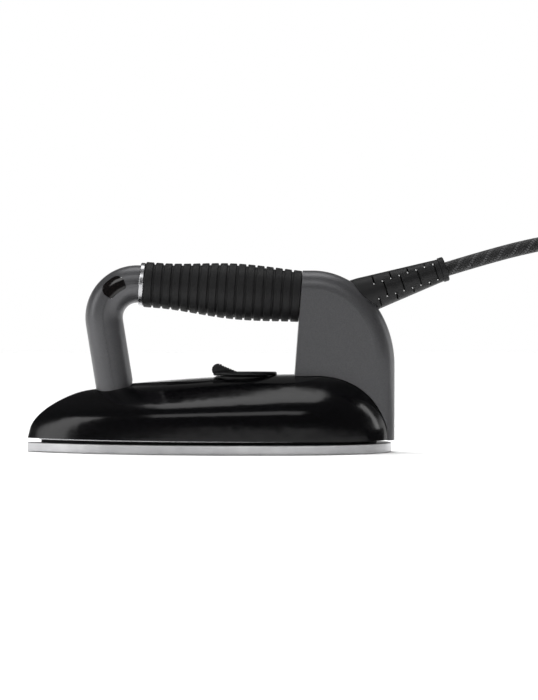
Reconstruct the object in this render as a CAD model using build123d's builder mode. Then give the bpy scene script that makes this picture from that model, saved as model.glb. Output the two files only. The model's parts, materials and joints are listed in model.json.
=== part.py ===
from build123d import *
import math
import os

os.makedirs("parts", exist_ok=True)

# A dry clothes iron, in millimetres. +X points to the heel, +Z up, and the iron stands
# on its soleplate at z = 0 with the middle of its length at x = 0.

# ---------------------------------------------------------------- driving dimensions
# soleplate
sole_tip_x = -121.0
sole_heel_x = 119.0
sole_half_width = 55.0
sole_thickness = 6.2
sole_tip_radius = 5.0
sole_edge_round = 0.9
flank_end_x = 22.0
straight_end_x = 44.0

# neck between soleplate and cover
neck_setback = 9.5
neck_tip_setback = 9.2
neck_width = 4.0
neck_height = 2.0

# cover
cover_wall = 2.5
cover_gap = 0.3
cover_bottom_z = sole_thickness + neck_height + cover_gap
cover_bottom_slope = -0.0042
cover_mid_x = 33.0
wall_top_z = 19.0
shoulder_radius = 18.0
upper_flank_inset = 16.0
shoulder_sweep = 50.0
flank_arc_radius = 122.0
crease_half_width = 28.5
crease_slope = 0.056
nose_length = 78.0
nose_height = 37.2
nose_base_z = cover_bottom_z - 0.1
heel_arch_x = 72.0
heel_arch_length = 43.0
heel_arch_height = 40.6
heel_arch_base_z = cover_bottom_z + 0.5
deck_top_x = 76.0
deck_top_z = 51.35
deck_long_radius = 1300.0
deck_cross_radius = 95.0

# handle arm, a bent tube in two halves
arm_radius = 12.35
arm_wall = 2.5
arm_bend_radius = 22.0
arm_corner_x = -74.57
arm_corner_z = 112.66
arm_lean = 9.09
arm_foot_z = 36.2
seam_width = 0.45
seam_depth = 0.45

# grip and what is on its axis
grip_start_x = -43.7
grip_start_z = 110.27
grip_drop_angle = 4.42
grip_rib_pitch = 6.06
grip_rib_count = 17
groove_width = 1.25
groove_depth = 1.3
rib_round = 0.45
grip_front_radius = 14.95
grip_swell = 3.55
grip_ease = 1.8
swell_start_s = 8.0
swell_end_s = 64.0
ease_length = 50.0
collar_width = 3.0
collar_radius = 14.2
core_radius = 8.0
core_wall = 2.0
grip_core_radius = 12.5
axis_clearance = 0.12

# rear housing
front_top_x = 60.6
housing_top_z = 119.3
back_centre_x = 67.0
back_centre_z = 57.0
housing_half_width = 17.0
housing_wall = 2.6
housing_edge_round = 12.5
housing_rear_x = 121.0
housing_bottom_z = 7.9
fit_gap = 0.25
heel_trim_x = 115.4

# selector dial
dial_x = 22.6
dial_radius = 21.0
dial_bottom_z = 50.1
dial_top_z = 52.7
dial_rim_round = 1.1
dial_hub_radius = 7.0
seat_radius = 19.5
seat_top_z = 49.8
seat_flange_z = 42.6
lever_head_radius = 4.0
lever_head_inset = 3.3
lever_head_x = dial_x - dial_radius + lever_head_inset
lever_slope_length = 13.5
lever_head_z = 54.0
lever_width = 15.0
running_gap = 0.05
thread_gap = 0.1

# thermostat
spindle_radius = 3.0
spindle_top_z = 48.6
spindle_tip_z = 21.6
bracket_half_width = 9.0
bracket_thickness = 1.5
small_screw_radius = 1.5
earth_tag_thickness = 0.8
bracket_front_x = 6.0
bracket_rear_x = 41.0
bracket_screw_places = ((bracket_rear_x - 4, -5.5), (bracket_rear_x - 4, 5.5))
bracket_base_z = 9.8
bracket_top_z = 28.0
arm_pivot_x = 36.0
arm_pivot_z = 18.0
contact_x = 11.0
contact_block_height = 2.6
fuse_x = 52.0
fuse_y = -16.0
fuse_z = 14.6
fuse_radius = 2.0
fuse_length = 12.0

# mounting bridge
bridge_z = 32.0
bridge_thickness = 2.0
bridge_half_width = 10.5
bridge_front_x = -62.0
bridge_rear_x = 74.0
standoff_x = (-38.0, 50.5, 71.2)
anchor_bolt_x = (62.6, 80.6)
bolt_radius = 2.5
bolt_clearance = 0.2
bolt_head_height = 3.5
bolt_head_half_width = 4.0
standoff_screw_radius = 2.0
anchor_block_length = 23.8
anchor_block_side_gap = 4.9
earth_x = 86.0

# heating element
element_radius = 3.5
element_z = 8.9
element_leg_y = 27.0
element_bend_x = -84.0
element_shoulder_x = -5.0
element_pin_length = 7.0
element_end_x = 80.0
element_end_z = 26.0

# cord, strain relief and plug
cord_diameter = 9.4
boot_angle = 18.2
boot_exit_x = 98.1
boot_exit_z = 102.0
boot_length = 60.0
boot_root_radius = 12.3
boot_tip_radius = 7.55
boot_station_first = 11.7
boot_station_pitch = 5.85
boot_station_count = 8
boot_hole_offset = 5.2
boot_hole_radius = 0.75
boot_slit_width = 1.0
cord_bore_gap = 0.05
coil_x = 289.0
coil_y = 35.0
coil_inner_turn = 47.3
coil_lift = 1.1
tie_thickness = 1.0
tie_width = 14.0
plug_head_radius = 18.5
plug_neck_radius = 6.3
plug_length = 50.0
plug_x = 292.3
plug_y = -40.3
plug_neck_z = 9.35
pin_radius = 2.4
pin_length = 19.0
pin_spacing = 19.0

arm_foot_x = arm_corner_x + (arm_corner_z - arm_foot_z) * math.tan(math.radians(arm_lean))


def finish(builder, name):
    """Label a finished piece and write its STEP file."""
    builder.part.label = name
    export_step(builder.part, "parts/" + name + ".step")


# ---------------------------------------------------------------- plan outlines
def plan_outline(plane, tip_x, heel_x, half_width, tip_radius):
    """Iron-shaped outline: round tip, arc flanks, short straights and an elliptical heel."""
    to_widest = flank_end_x - tip_x - tip_radius
    flank_radius = (to_widest**2 + half_width**2 - tip_radius**2) / (2 * (half_width - tip_radius))
    flank_y = half_width - flank_radius
    reach = flank_radius / (flank_radius - tip_radius)
    meet = (flank_end_x - to_widest * reach, flank_y - flank_y * reach)
    meet_angle = math.degrees(math.atan2(meet[1] - flank_y, meet[0] - flank_end_x))
    half_way = math.radians((meet_angle + 90) / 2)
    flank_middle = (
        flank_end_x + flank_radius * math.cos(half_way),
        flank_y + flank_radius * math.sin(half_way),
    )
    tip_angle = math.radians((meet_angle + 180) / 2)
    tip_middle = (
        tip_x + tip_radius + tip_radius * math.cos(tip_angle),
        tip_radius * math.sin(tip_angle),
    )
    with BuildSketch(plane) as outline:
        with BuildLine():
            ThreePointArc((tip_x, 0), tip_middle, meet)
            ThreePointArc(meet, flank_middle, (flank_end_x, half_width))
            Line((flank_end_x, half_width), (straight_end_x, half_width))
            EllipticalCenterArc(
                (straight_end_x, 0), heel_x - straight_end_x, half_width, start_angle=0, arc_size=90
            )
            mirror(about=Plane.XZ)
        make_face()
    return outline.sketch


def sole_outline(inset):
    """Outline of the soleplate moved inwards by inset."""
    return plan_outline(
        Plane.XY,
        sole_tip_x + 1.7 * inset,
        sole_heel_x - inset,
        sole_half_width - inset,
        sole_tip_radius,
    )


def neck_outline(inset):
    """Outline of the neck, which comes closer to the soleplate's edge at the tip."""
    return plan_outline(
        Plane.XY,
        sole_tip_x + neck_tip_setback + 1.7 * inset,
        sole_heel_x - neck_setback - inset,
        sole_half_width - neck_setback - inset,
        sole_tip_radius,
    )


# ---------------------------------------------------------------- cover skin
def cover_levels():
    """Levels of the dome at its widest place: height, half width and lean of the skin."""
    levels = [(cover_bottom_z, sole_half_width, 0.0)]
    levels.append((wall_top_z, sole_half_width, 0.0))
    shoulder_y = sole_half_width - shoulder_radius
    for share in (1 / 3, 2 / 3, 1):
        lean = math.radians(shoulder_sweep * share)
        levels.append(
            (
                wall_top_z + shoulder_radius * math.sin(lean),
                shoulder_y + shoulder_radius * math.cos(lean),
                lean,
            )
        )
    # above the shoulder the skin is a long arc, tangent to it
    start = math.radians(shoulder_sweep)
    arc_y = levels[-1][1] - flank_arc_radius * math.cos(start)
    arc_z = levels[-1][0] - flank_arc_radius * math.sin(start)
    for half_width in (sole_half_width - upper_flank_inset, crease_half_width, 21.0, 14.0):
        lean = math.acos((half_width - arc_y) / flank_arc_radius)
        levels.append((arc_z + flank_arc_radius * math.sin(lean), half_width, lean))
    return levels


def level_slope(z, crease_z):
    """Slope of a level plane: the bottom runs down to the heel and the crease rises to it."""
    if z < wall_top_z:
        share = (z - cover_bottom_z) / (wall_top_z - cover_bottom_z)
        return cover_bottom_slope * (1 - share)
    return crease_slope * (z - wall_top_z) / (crease_z - wall_top_z)


def nose_x(z, slope):
    """Where the elliptical nose stands on a level plane."""
    x = sole_tip_x
    for _ in range(12):
        here = z + slope * (x - cover_mid_x)
        rise = min(max((here - nose_base_z) / nose_height, 0), 0.999)
        x = sole_tip_x + nose_length * (1 - math.sqrt(1 - rise**2))
    return x


def heel_radius(z, slope, half_width):
    """Length of a level's elliptical heel, so that the rear follows its arch beside the housing."""
    x = heel_arch_x + heel_arch_length
    for _ in range(12):
        here = z + slope * (x - cover_mid_x)
        rise = min(max((here - heel_arch_base_z) / heel_arch_height, 0), 0.999)
        x = heel_arch_x + heel_arch_length * math.sqrt(1 - rise**2)
    across = math.sqrt(1 - (housing_half_width / half_width) ** 2)
    return (x - straight_end_x) / across


def deck_cut(drop):
    """Everything above the crowned deck, the deck being lowered by drop."""
    radius = deck_cross_radius - drop
    side = 70.0
    roof = deck_top_z + 60
    with BuildPart() as above:
        for x in (-135, -60, 15, 90, 130):
            fall = deck_long_radius - math.sqrt(deck_long_radius**2 - (x - deck_top_x) ** 2)
            top = deck_top_z - drop - fall
            edge = top - radius + math.sqrt(radius**2 - side**2)
            with BuildSketch(Plane.YZ.offset(x)):
                with BuildLine():
                    ThreePointArc((-side, edge), (0, top), (side, edge))
                    Polyline((side, edge), (side, roof), (-side, roof), (-side, edge))
                make_face()
        loft()
    return above.part


def cover_body(inset, below):
    """The cover's dome as one solid, its skin moved in by inset and its foot lowered by below."""
    levels = cover_levels()
    crease = next(level for level in levels if level[1] == crease_half_width)
    crease_x = nose_x(crease[0], crease_slope)
    crease_heel = heel_radius(crease[0], crease_slope, crease[1])
    outlines = []
    for z, half_width, lean in levels:
        slope = level_slope(z, crease[0])
        if half_width >= crease_half_width:
            tip = nose_x(z, slope)
            heel = heel_radius(z, slope, half_width)
        else:
            share = half_width / crease_half_width
            tip = flank_end_x - (flank_end_x - crease_x) * share
            heel = crease_heel * share
        inwards = inset * math.cos(lean)
        height = z - inset * math.sin(lean)
        if z == cover_bottom_z:
            height = z - below
        plane = Plane(
            origin=(0, 0, height - slope * cover_mid_x), x_dir=(1, 0, slope), z_dir=(-slope, 0, 1)
        )
        outlines.append(
            plan_outline(
                plane,
                tip + 1.3 * inwards,
                straight_end_x + heel - inwards,
                half_width - inwards,
                sole_tip_radius * half_width / sole_half_width,
            )
        )
    with BuildPart() as dome:
        loft(outlines)
        add(deck_cut(inset), mode=Mode.SUBTRACT)
    return dome.part


# ---------------------------------------------------------------- shared axes and paths
grip_angle = math.radians(grip_drop_angle)
grip_plane = Plane(
    origin=(grip_start_x, 0, grip_start_z),
    x_dir=(math.sin(grip_angle), 0, math.cos(grip_angle)),
    z_dir=(math.cos(grip_angle), 0, -math.sin(grip_angle)),
)
grip_length = grip_rib_pitch * grip_rib_count


def on_grip(s):
    """Point on the grip axis, s from the front end of the grip."""
    return (grip_start_x + s * math.cos(grip_angle), grip_start_z - s * math.sin(grip_angle))


def along_grip(s):
    """Plane square to the grip axis, s from the front end of the grip."""
    return grip_plane.offset(s)


boot_tilt = math.radians(boot_angle)
boot_plane = Plane(
    origin=(boot_exit_x, 0, boot_exit_z),
    x_dir=(-math.sin(boot_tilt), 0, math.cos(boot_tilt)),
    z_dir=(math.cos(boot_tilt), 0, math.sin(boot_tilt)),
)


def on_boot(t):
    """Point on the strain relief's axis, t beyond the housing."""
    return (boot_exit_x + t * math.cos(boot_tilt), 0, boot_exit_z + t * math.sin(boot_tilt))


def turned(profile_plane, points):
    """Solid turned about the plane's normal from (radius, height) points."""
    with BuildPart() as piece:
        with BuildSketch(Plane(profile_plane.origin, profile_plane.x_dir, -profile_plane.y_dir)):
            with BuildLine():
                Polyline(*[(radius, height) for radius, height in points], close=True)
            make_face()
        revolve(axis=Axis(profile_plane.origin, profile_plane.z_dir))
    return piece.part


# ---------------------------------------------------------------- soleplate and heating element
element_path_points = [
    (element_end_x, -element_leg_y, element_end_z),
    (element_end_x, -element_leg_y, element_z),
    (element_shoulder_x, -element_leg_y, element_z),
    (element_bend_x, 0, element_z),
    (element_shoulder_x, element_leg_y, element_z),
    (element_end_x, element_leg_y, element_z),
    (element_end_x, element_leg_y, element_end_z),
]
element_radii = [8, 30, 12, 30, 8]
ridge_end_x = element_end_x - 10
ridge_width = 13.0
ridge_top_z = element_z + element_radius + 1.6

with BuildPart() as heating_element:
    with BuildLine() as element_line:
        FilletPolyline(*element_path_points, radius=element_radii)
    with BuildSketch(Plane(element_path_points[0], x_dir=(1, 0, 0), z_dir=(0, 0, -1))):
        Circle(element_radius)
    sweep(path=element_line.line)
finish(heating_element, "heating_element")

with BuildPart() as soleplate:
    with BuildSketch():
        add(sole_outline(0))
    extrude(amount=sole_thickness)
    fillet(soleplate.edges().group_by(Axis.Z)[0], sole_edge_round)
    chamfer(soleplate.faces().sort_by(Axis.Z)[-1].outer_wire().edges(), 0.3)
    # cast ridge over the element
    with BuildSketch(Plane.XY.offset(sole_thickness - 0.5)):
        with BuildLine():
            FilletPolyline(
                (ridge_end_x, -element_leg_y),
                (element_shoulder_x, -element_leg_y),
                (element_bend_x, 0),
                (element_shoulder_x, element_leg_y),
                (ridge_end_x, element_leg_y),
                radius=element_radii[1:4],
            )
        trace(line_width=ridge_width)
    extrude(amount=ridge_top_z - sole_thickness + 0.5)
    # seats for the thermostat bracket, the standoffs and the earth screw
    with BuildSketch(Plane.XY.offset(sole_thickness - 0.5)):
        with Locations(((bracket_front_x + bracket_rear_x) / 2, 0)):
            RectangleRounded(bracket_rear_x - bracket_front_x + 4, 2 * bracket_half_width + 3, 2)
    extrude(amount=bracket_base_z - sole_thickness + 0.5)
    with BuildSketch(Plane.XY.offset(sole_thickness - 0.5)):
        with Locations(*[(x, 0) for x in standoff_x]):
            Circle(6)
        with Locations((earth_x, 0)):
            Circle(5)
    extrude(amount=bracket_base_z - sole_thickness + 0.5)
    with BuildSketch(Plane.XY.offset(bracket_base_z)):
        with Locations(*[(x, 0) for x in standoff_x]):
            Circle(standoff_screw_radius + thread_gap)
        with Locations((earth_x, 0), *bracket_screw_places):
            Circle(small_screw_radius + thread_gap)
    extrude(amount=-5, mode=Mode.SUBTRACT)
    add(heating_element.part, mode=Mode.SUBTRACT)
finish(soleplate, "soleplate")

with BuildPart() as element_seals:
    for side in (-1, 1):
        with BuildSketch(Plane.XY.offset(element_end_z)):
            with Locations((element_end_x, side * element_leg_y)):
                Circle(element_radius - 0.1)
                Circle(1.3, mode=Mode.SUBTRACT)
        extrude(amount=2.5)
finish(element_seals, "element_seals")

with BuildPart() as element_pins:
    for side in (-1, 1):
        with BuildSketch(Plane.XY.offset(element_end_z)):
            with Locations((element_end_x, side * element_leg_y)):
                Circle(1.2)
        extrude(amount=element_pin_length)
finish(element_pins, "element_pins")

with BuildPart() as neck_ring:
    with BuildSketch(Plane.XY.offset(sole_thickness)):
        add(neck_outline(0))
        add(neck_outline(neck_width), mode=Mode.SUBTRACT)
    extrude(amount=neck_height)
finish(neck_ring, "neck_ring")

shield_z = sole_thickness + neck_height
shield_thickness = 0.9
with BuildPart() as heat_shield:
    with BuildSketch(Plane.XY.offset(shield_z)):
        add(sole_outline(cover_wall + 2))
        add(sole_outline(neck_setback + neck_width), mode=Mode.SUBTRACT)
    extrude(amount=shield_thickness)
finish(heat_shield, "heat_shield")

# ---------------------------------------------------------------- cover
cover_outer = cover_body(0, 0)
wire_hole_x = 89.0
wire_hole_radius = 4.0

leg_plane = Plane(
    origin=(arm_foot_x, 0, arm_foot_z),
    x_dir=(0, 1, 0),
    z_dir=(arm_corner_x - arm_foot_x, 0, arm_corner_z - arm_foot_z),
)

with BuildPart() as cover:
    add(cover_outer)
    add(cover_body(cover_wall, 4), mode=Mode.SUBTRACT)
    # hole for the arm's leg
    with BuildSketch(leg_plane.offset(-4)):
        Circle(arm_radius + fit_gap)
    extrude(amount=24, mode=Mode.SUBTRACT)
    # hole for the selector seat, and the shallow recess the dial turns in
    with BuildSketch(Plane.XY.offset(35)):
        with Locations((dial_x, 0)):
            Circle(seat_radius + fit_gap)
    extrude(amount=30, mode=Mode.SUBTRACT)
    with BuildSketch(Plane.XY.offset(seat_top_z)):
        with Locations((dial_x, 0)):
            Circle(dial_radius + 0.6)
    extrude(amount=10, mode=Mode.SUBTRACT)
    # holes for the housing's bolts and the wires
    with BuildSketch(Plane.XY.offset(35)):
        with Locations(*[(x, 0) for x in anchor_bolt_x]):
            Circle(bolt_radius + bolt_clearance)
        with Locations((wire_hole_x, 0)):
            Circle(wire_hole_radius)
    extrude(amount=30, mode=Mode.SUBTRACT)
    # the heel is cut square behind the housing's rear wall
    with BuildSketch(Plane.YZ.offset(heel_trim_x)):
        with Locations((0, 25)):
            Rectangle(60, 60)
    extrude(amount=10, mode=Mode.SUBTRACT)
finish(cover, "cover")

# ---------------------------------------------------------------- handle arm
arm_plane = Plane(origin=leg_plane.origin, x_dir=(0, 1, 0), z_dir=leg_plane.z_dir)
with BuildLine(Plane.XZ) as arm_centre:
    FilletPolyline(
        (arm_foot_x, arm_foot_z), (arm_corner_x, arm_corner_z), on_grip(-1), radius=arm_bend_radius
    )
arm_line = arm_centre.line
bend_centre = arm_line.edges().filter_by(GeomType.CIRCLE)[0].arc_center
arm_end_s = -collar_width - 0.2


def arm_bar(radius):
    """Solid bar of the given radius along the arm, cut square before the collar."""
    with BuildPart() as bar:
        with BuildSketch(arm_plane):
            Circle(radius)
        sweep(path=arm_line)
        split(bisect_by=along_grip(arm_end_s), keep=Keep.BOTTOM)
    return bar.part


def seam_groove(side):
    """Narrow groove along one side of the arm, where its two halves meet."""
    with BuildPart() as groove:
        with BuildSketch(arm_plane):
            with Locations((side * arm_radius, 0)):
                Rectangle(2 * seam_depth, seam_width)
        sweep(path=arm_line)
    return groove.part


# everything on the inner side of the arm's centreline
with BuildPart() as inside_bend:
    with BuildSketch(Plane.XZ):
        with BuildLine():
            FilletPolyline(
                (arm_foot_x, arm_foot_z),
                (arm_corner_x, arm_corner_z),
                on_grip(-1),
                radius=arm_bend_radius,
            )
            Polyline(on_grip(-1), (on_grip(-1)[0] - 4, 20), (arm_foot_x, 20), (arm_foot_x, arm_foot_z))
        make_face()
    extrude(amount=20, both=True)

# pilot lamp window, a rounded sector of the bend on each side
lens_inner_radius = arm_bend_radius - 2.0
lens_outer_radius = arm_bend_radius + 8.2
lens_from_angle = 109.0
lens_to_angle = 144.5
lens_middle_angle = (lens_from_angle + lens_to_angle) / 2
lens_corner_round = 5.0
lens_inner_round = 1.6
lens_thickness = 1.8
lens_gap = 0.2


def lens_block(grow):
    """Both windows as one bar through the arm, grown by grow all round."""
    inner = lens_inner_radius - grow
    outer = lens_outer_radius + grow
    spread = math.degrees(grow / arm_bend_radius)
    corners = [
        (
            bend_centre.X + radius * math.cos(math.radians(angle)),
            bend_centre.Z + radius * math.sin(math.radians(angle)),
        )
        for angle in (lens_from_angle - spread, lens_middle_angle, lens_to_angle + spread)
        for radius in (inner, outer)
    ]
    with BuildPart() as block:
        with BuildSketch(Plane.XZ) as face:
            with BuildLine():
                ThreePointArc(corners[0], corners[2], corners[4])
                Line(corners[4], corners[5])
                ThreePointArc(corners[5], corners[3], corners[1])
                Line(corners[1], corners[0])
            make_face()
            middle = Vector(bend_centre.X, bend_centre.Z)
            inner_corners = [
                corner
                for corner in face.vertices()
                if (Vector(corner.X, corner.Y) - middle).length < arm_bend_radius
            ]
            fillet(inner_corners, lens_inner_round + grow)
            outer_corners = [
                corner
                for corner in face.vertices()
                if (Vector(corner.X, corner.Y) - middle).length > lens_outer_radius - 1
            ]
            fillet(outer_corners, lens_corner_round + grow)
        extrude(amount=20, both=True)
    return block.part


lens_bar = lens_block(0)
lens_hole = lens_block(lens_gap)
arm_solid = arm_bar(arm_radius)
arm_inside = arm_bar(arm_radius - arm_wall)
lens_back = arm_bar(arm_radius - lens_thickness)

arm_boss_length = 3.6


def arm_shell(inner_side, name):
    """One half of the arm: a thin half tube, closed round the handle bar at its upper end."""
    with BuildPart() as shell:
        add(arm_solid)
        add(arm_inside, mode=Mode.SUBTRACT)
        # collar that locks behind the handle bar's front flange
        with BuildSketch(along_grip(arm_end_s)):
            Circle(arm_radius - arm_wall + 0.1)
        extrude(amount=-arm_boss_length)
        with BuildSketch(along_grip(arm_end_s + 1)):
            Circle(core_radius + axis_clearance)
        extrude(amount=-arm_boss_length - 3, mode=Mode.SUBTRACT)
        add(inside_bend.part, mode=Mode.INTERSECT if inner_side else Mode.SUBTRACT)
        for side in (-1, 1):
            add(seam_groove(side), mode=Mode.SUBTRACT)
        add(lens_hole, mode=Mode.SUBTRACT)
    finish(shell, name)


arm_shell(False, "arm_outer_shell")
arm_shell(True, "arm_inner_shell")

for side, name in ((-1, "lamp_lens_near"), (1, "lamp_lens_far")):
    with BuildPart() as lens:
        add(arm_solid)
        add(lens_back, mode=Mode.SUBTRACT)
        add(lens_bar, mode=Mode.INTERSECT)
        with BuildSketch(Plane.XZ.offset(side * 10)):
            Rectangle(400, 400)
        extrude(amount=side * 10, both=True, mode=Mode.SUBTRACT)
    finish(lens, name)

lamp_angle = math.radians(lens_middle_angle)
lamp_x = bend_centre.X + (arm_bend_radius + 3) * math.cos(lamp_angle)
lamp_z = bend_centre.Z + (arm_bend_radius + 3) * math.sin(lamp_angle)
lamp_radius = 2.4
with BuildPart() as pilot_lamp:
    with BuildSketch(Plane.XZ):
        with Locations((lamp_x, lamp_z)):
            Circle(lamp_radius)
    extrude(amount=5.0, both=True)
    fillet(pilot_lamp.edges().filter_by(GeomType.CIRCLE), 1.2)
finish(pilot_lamp, "pilot_lamp")

with BuildPart() as lamp_holder:
    with BuildSketch(Plane.XZ):
        with Locations((lamp_x, lamp_z)):
            Circle(lamp_radius + 1.4)
            Circle(lamp_radius + 0.1, mode=Mode.SUBTRACT)
    extrude(amount=2.2, both=True)
finish(lamp_holder, "lamp_holder")

# anchor in the foot of the leg, and the bolt that pulls it down on the bridge
anchor_radius = arm_radius - arm_wall - 0.2
with BuildPart() as leg_anchor:
    with BuildSketch(arm_plane.offset(-4)):
        Circle(anchor_radius)
    extrude(amount=20)
    with BuildSketch(Plane.XY.offset(bridge_z + bridge_thickness + 0.1)):
        Rectangle(400, 400)
    extrude(amount=-20, mode=Mode.SUBTRACT)
    with BuildSketch(Plane.XY.offset(bridge_z + bridge_thickness)):
        with Locations((arm_foot_x - 1, 0)):
            Circle(bolt_radius + thread_gap)
    extrude(amount=14, mode=Mode.SUBTRACT)
finish(leg_anchor, "leg_anchor")

# ---------------------------------------------------------------- grip and handle bar
housing_face_s = (front_top_x - grip_start_x) * math.cos(grip_angle) - (
    housing_top_z - grip_start_z
) * math.sin(grip_angle)
core_front_s = arm_end_s - 5.6
core_end_s = housing_face_s + 5.2
flange_thickness = 1.6


def grip_radius(s):
    """Outer radius of the grip, swelling from the front and easing off before the housing."""
    if s < swell_start_s:
        return grip_front_radius
    if s < swell_end_s:
        share = (s - swell_start_s) / (swell_end_s - swell_start_s)
        return grip_front_radius + grip_swell * (1 - math.cos(math.pi * share)) / 2
    share = (s - swell_end_s) / ease_length
    return grip_front_radius + grip_swell - grip_ease * (1 - math.cos(math.pi * share)) / 2


with BuildPart() as handle_bar:
    with BuildSketch(along_grip(core_front_s)):
        Circle(core_radius)
    extrude(amount=core_end_s - core_front_s)
    with BuildSketch(along_grip(core_front_s)):
        Circle(core_radius + 0.7)
    extrude(amount=flange_thickness)
    with BuildSketch(along_grip(core_end_s - flange_thickness)):
        Circle(core_radius + 3)
    extrude(amount=flange_thickness)
    with BuildSketch(along_grip(core_front_s)):
        Circle(core_radius - core_wall)
    extrude(amount=core_end_s - core_front_s, mode=Mode.SUBTRACT)
finish(handle_bar, "handle_bar")

with BuildPart() as collar_ring:
    with BuildSketch(along_grip(-collar_width - 0.1)):
        Circle(collar_radius)
        Circle(core_radius + axis_clearance, mode=Mode.SUBTRACT)
    extrude(amount=collar_width)
    fillet(collar_ring.edges().filter_by(GeomType.CIRCLE).group_by(SortBy.RADIUS)[-1], 0.6)
finish(collar_ring, "collar_ring")

with BuildPart() as grip_core:
    with BuildSketch(grip_plane):
        Circle(grip_core_radius)
        Circle(core_radius + axis_clearance, mode=Mode.SUBTRACT)
    extrude(amount=grip_length)
finish(grip_core, "grip_core")

with BuildPart() as grip:
    with BuildSketch(Plane(grip_plane.origin, x_dir=grip_plane.x_dir, z_dir=-grip_plane.y_dir)):
        with BuildLine():
            outline = [(grip_core_radius + 0.05, 0)]
            for rib in range(grip_rib_count):
                start = rib * grip_rib_pitch + (groove_width / 2 if rib else 0.3)
                end = (rib + 1) * grip_rib_pitch - (groove_width / 2 if rib < grip_rib_count - 1 else 0)
                if rib:
                    outline.append((grip_radius(start) - groove_depth, start))
                for place, turn_in in ((start, 1), (end, -1)):
                    edge_radius = grip_radius(place)
                    near = (edge_radius - rib_round, place)
                    far = (edge_radius, place + turn_in * rib_round)
                    outline.extend((near, far) if turn_in > 0 else (far, near))
                if rib < grip_rib_count - 1:
                    outline.append((grip_radius(end) - groove_depth, end))
            outline.append((grip_core_radius + 0.05, grip_rib_count * grip_rib_pitch))
            Polyline(*outline, close=True)
        make_face()
    revolve(axis=Axis(grip_plane.origin, grip_plane.z_dir))
finish(grip, "grip")

# ---------------------------------------------------------------- rear housing
front_lean = math.tan(grip_angle)


def housing_block(inset):
    """The housing as one solid, moved in by inset, before the cover's room is taken from it."""
    width = housing_half_width - inset
    rear = housing_rear_x - inset
    top = housing_top_z - inset
    front_low_x = front_top_x - front_lean * (housing_top_z - housing_bottom_z)
    with BuildPart() as block:
        with BuildSketch(Plane.XZ):
            with BuildLine():
                Polyline(
                    (rear, back_centre_z),
                    (rear, housing_bottom_z),
                    (front_low_x + inset, housing_bottom_z),
                    (front_top_x + inset, top),
                    (back_centre_x, top),
                )
                EllipticalCenterArc(
                    (back_centre_x, back_centre_z),
                    rear - back_centre_x,
                    top - back_centre_z,
                    start_angle=0,
                    arc_size=90,
                )
            make_face()
        extrude(amount=width, both=True)
        rounded = [
            edge
            for edge in block.edges()
            if abs(abs(edge.center().Y) - width) < 0.01
            and (
                edge.geom_type != GeomType.LINE
                or edge.center().X > rear - 0.01
                or edge.center().Z > top - 0.01
            )
        ]
        fillet(rounded, housing_edge_round - inset)
    return block.part


# room for the cover below the housing, cut square in front of the rear wall
with BuildPart() as cover_room:
    add(cover_body(-fit_gap, 6))
    with BuildSketch(Plane.YZ.offset(heel_trim_x + fit_gap)):
        with Locations((0, 25)):
            Rectangle(60, 80)
    extrude(amount=10, mode=Mode.SUBTRACT)

boot_flange_t = -11.5
boot_seat_t = -7.0
boot_neck_radius = boot_root_radius - 2.9


def boot_outline(grow):
    """Half outline of the strain relief, as (radius, distance) points, grown by grow."""
    bore = cord_diameter / 2 + cord_bore_gap
    return [
        (bore - grow * 9, boot_flange_t - 2.5 - grow),
        (boot_root_radius + grow, boot_flange_t - 2.5 - grow),
        (boot_root_radius + grow, boot_flange_t + grow),
        (boot_neck_radius + grow, boot_flange_t + grow),
        (boot_neck_radius + grow, boot_seat_t - grow),
        (boot_root_radius + grow, boot_seat_t - grow),
        (boot_root_radius + grow, 2.0),
        (boot_tip_radius + grow, boot_length - 3.9),
        (boot_tip_radius + 0.65 + grow, boot_length - 3.5),
        (boot_tip_radius + 0.65 + grow, boot_length - 0.5),
        (boot_tip_radius + 0.2 + grow, boot_length),
        (bore + 0.5 - grow * 12, boot_length),
        (bore - grow * 9, boot_length - 22),
    ]


clamp_t = -21.0
clamp_width = 6.0
clamp_height = cord_diameter / 2 + 3.3
clamp_reach = cord_diameter / 2 + 4.8
clamp_screw_radius = 1.45
clamp_screw_offset = cord_diameter / 2 + clamp_screw_radius + 1.05
clamp_plane = Plane(
    origin=on_boot(clamp_t), x_dir=(math.cos(boot_tilt), 0, math.sin(boot_tilt)), z_dir=(0, 1, 0)
)
cord_tail_length = 27.0

housing_screw_places = ((104.0, 62.0), (64.5, 79.0), (77.0, 110.0))
screw_head_y = housing_half_width - 4.0

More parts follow.
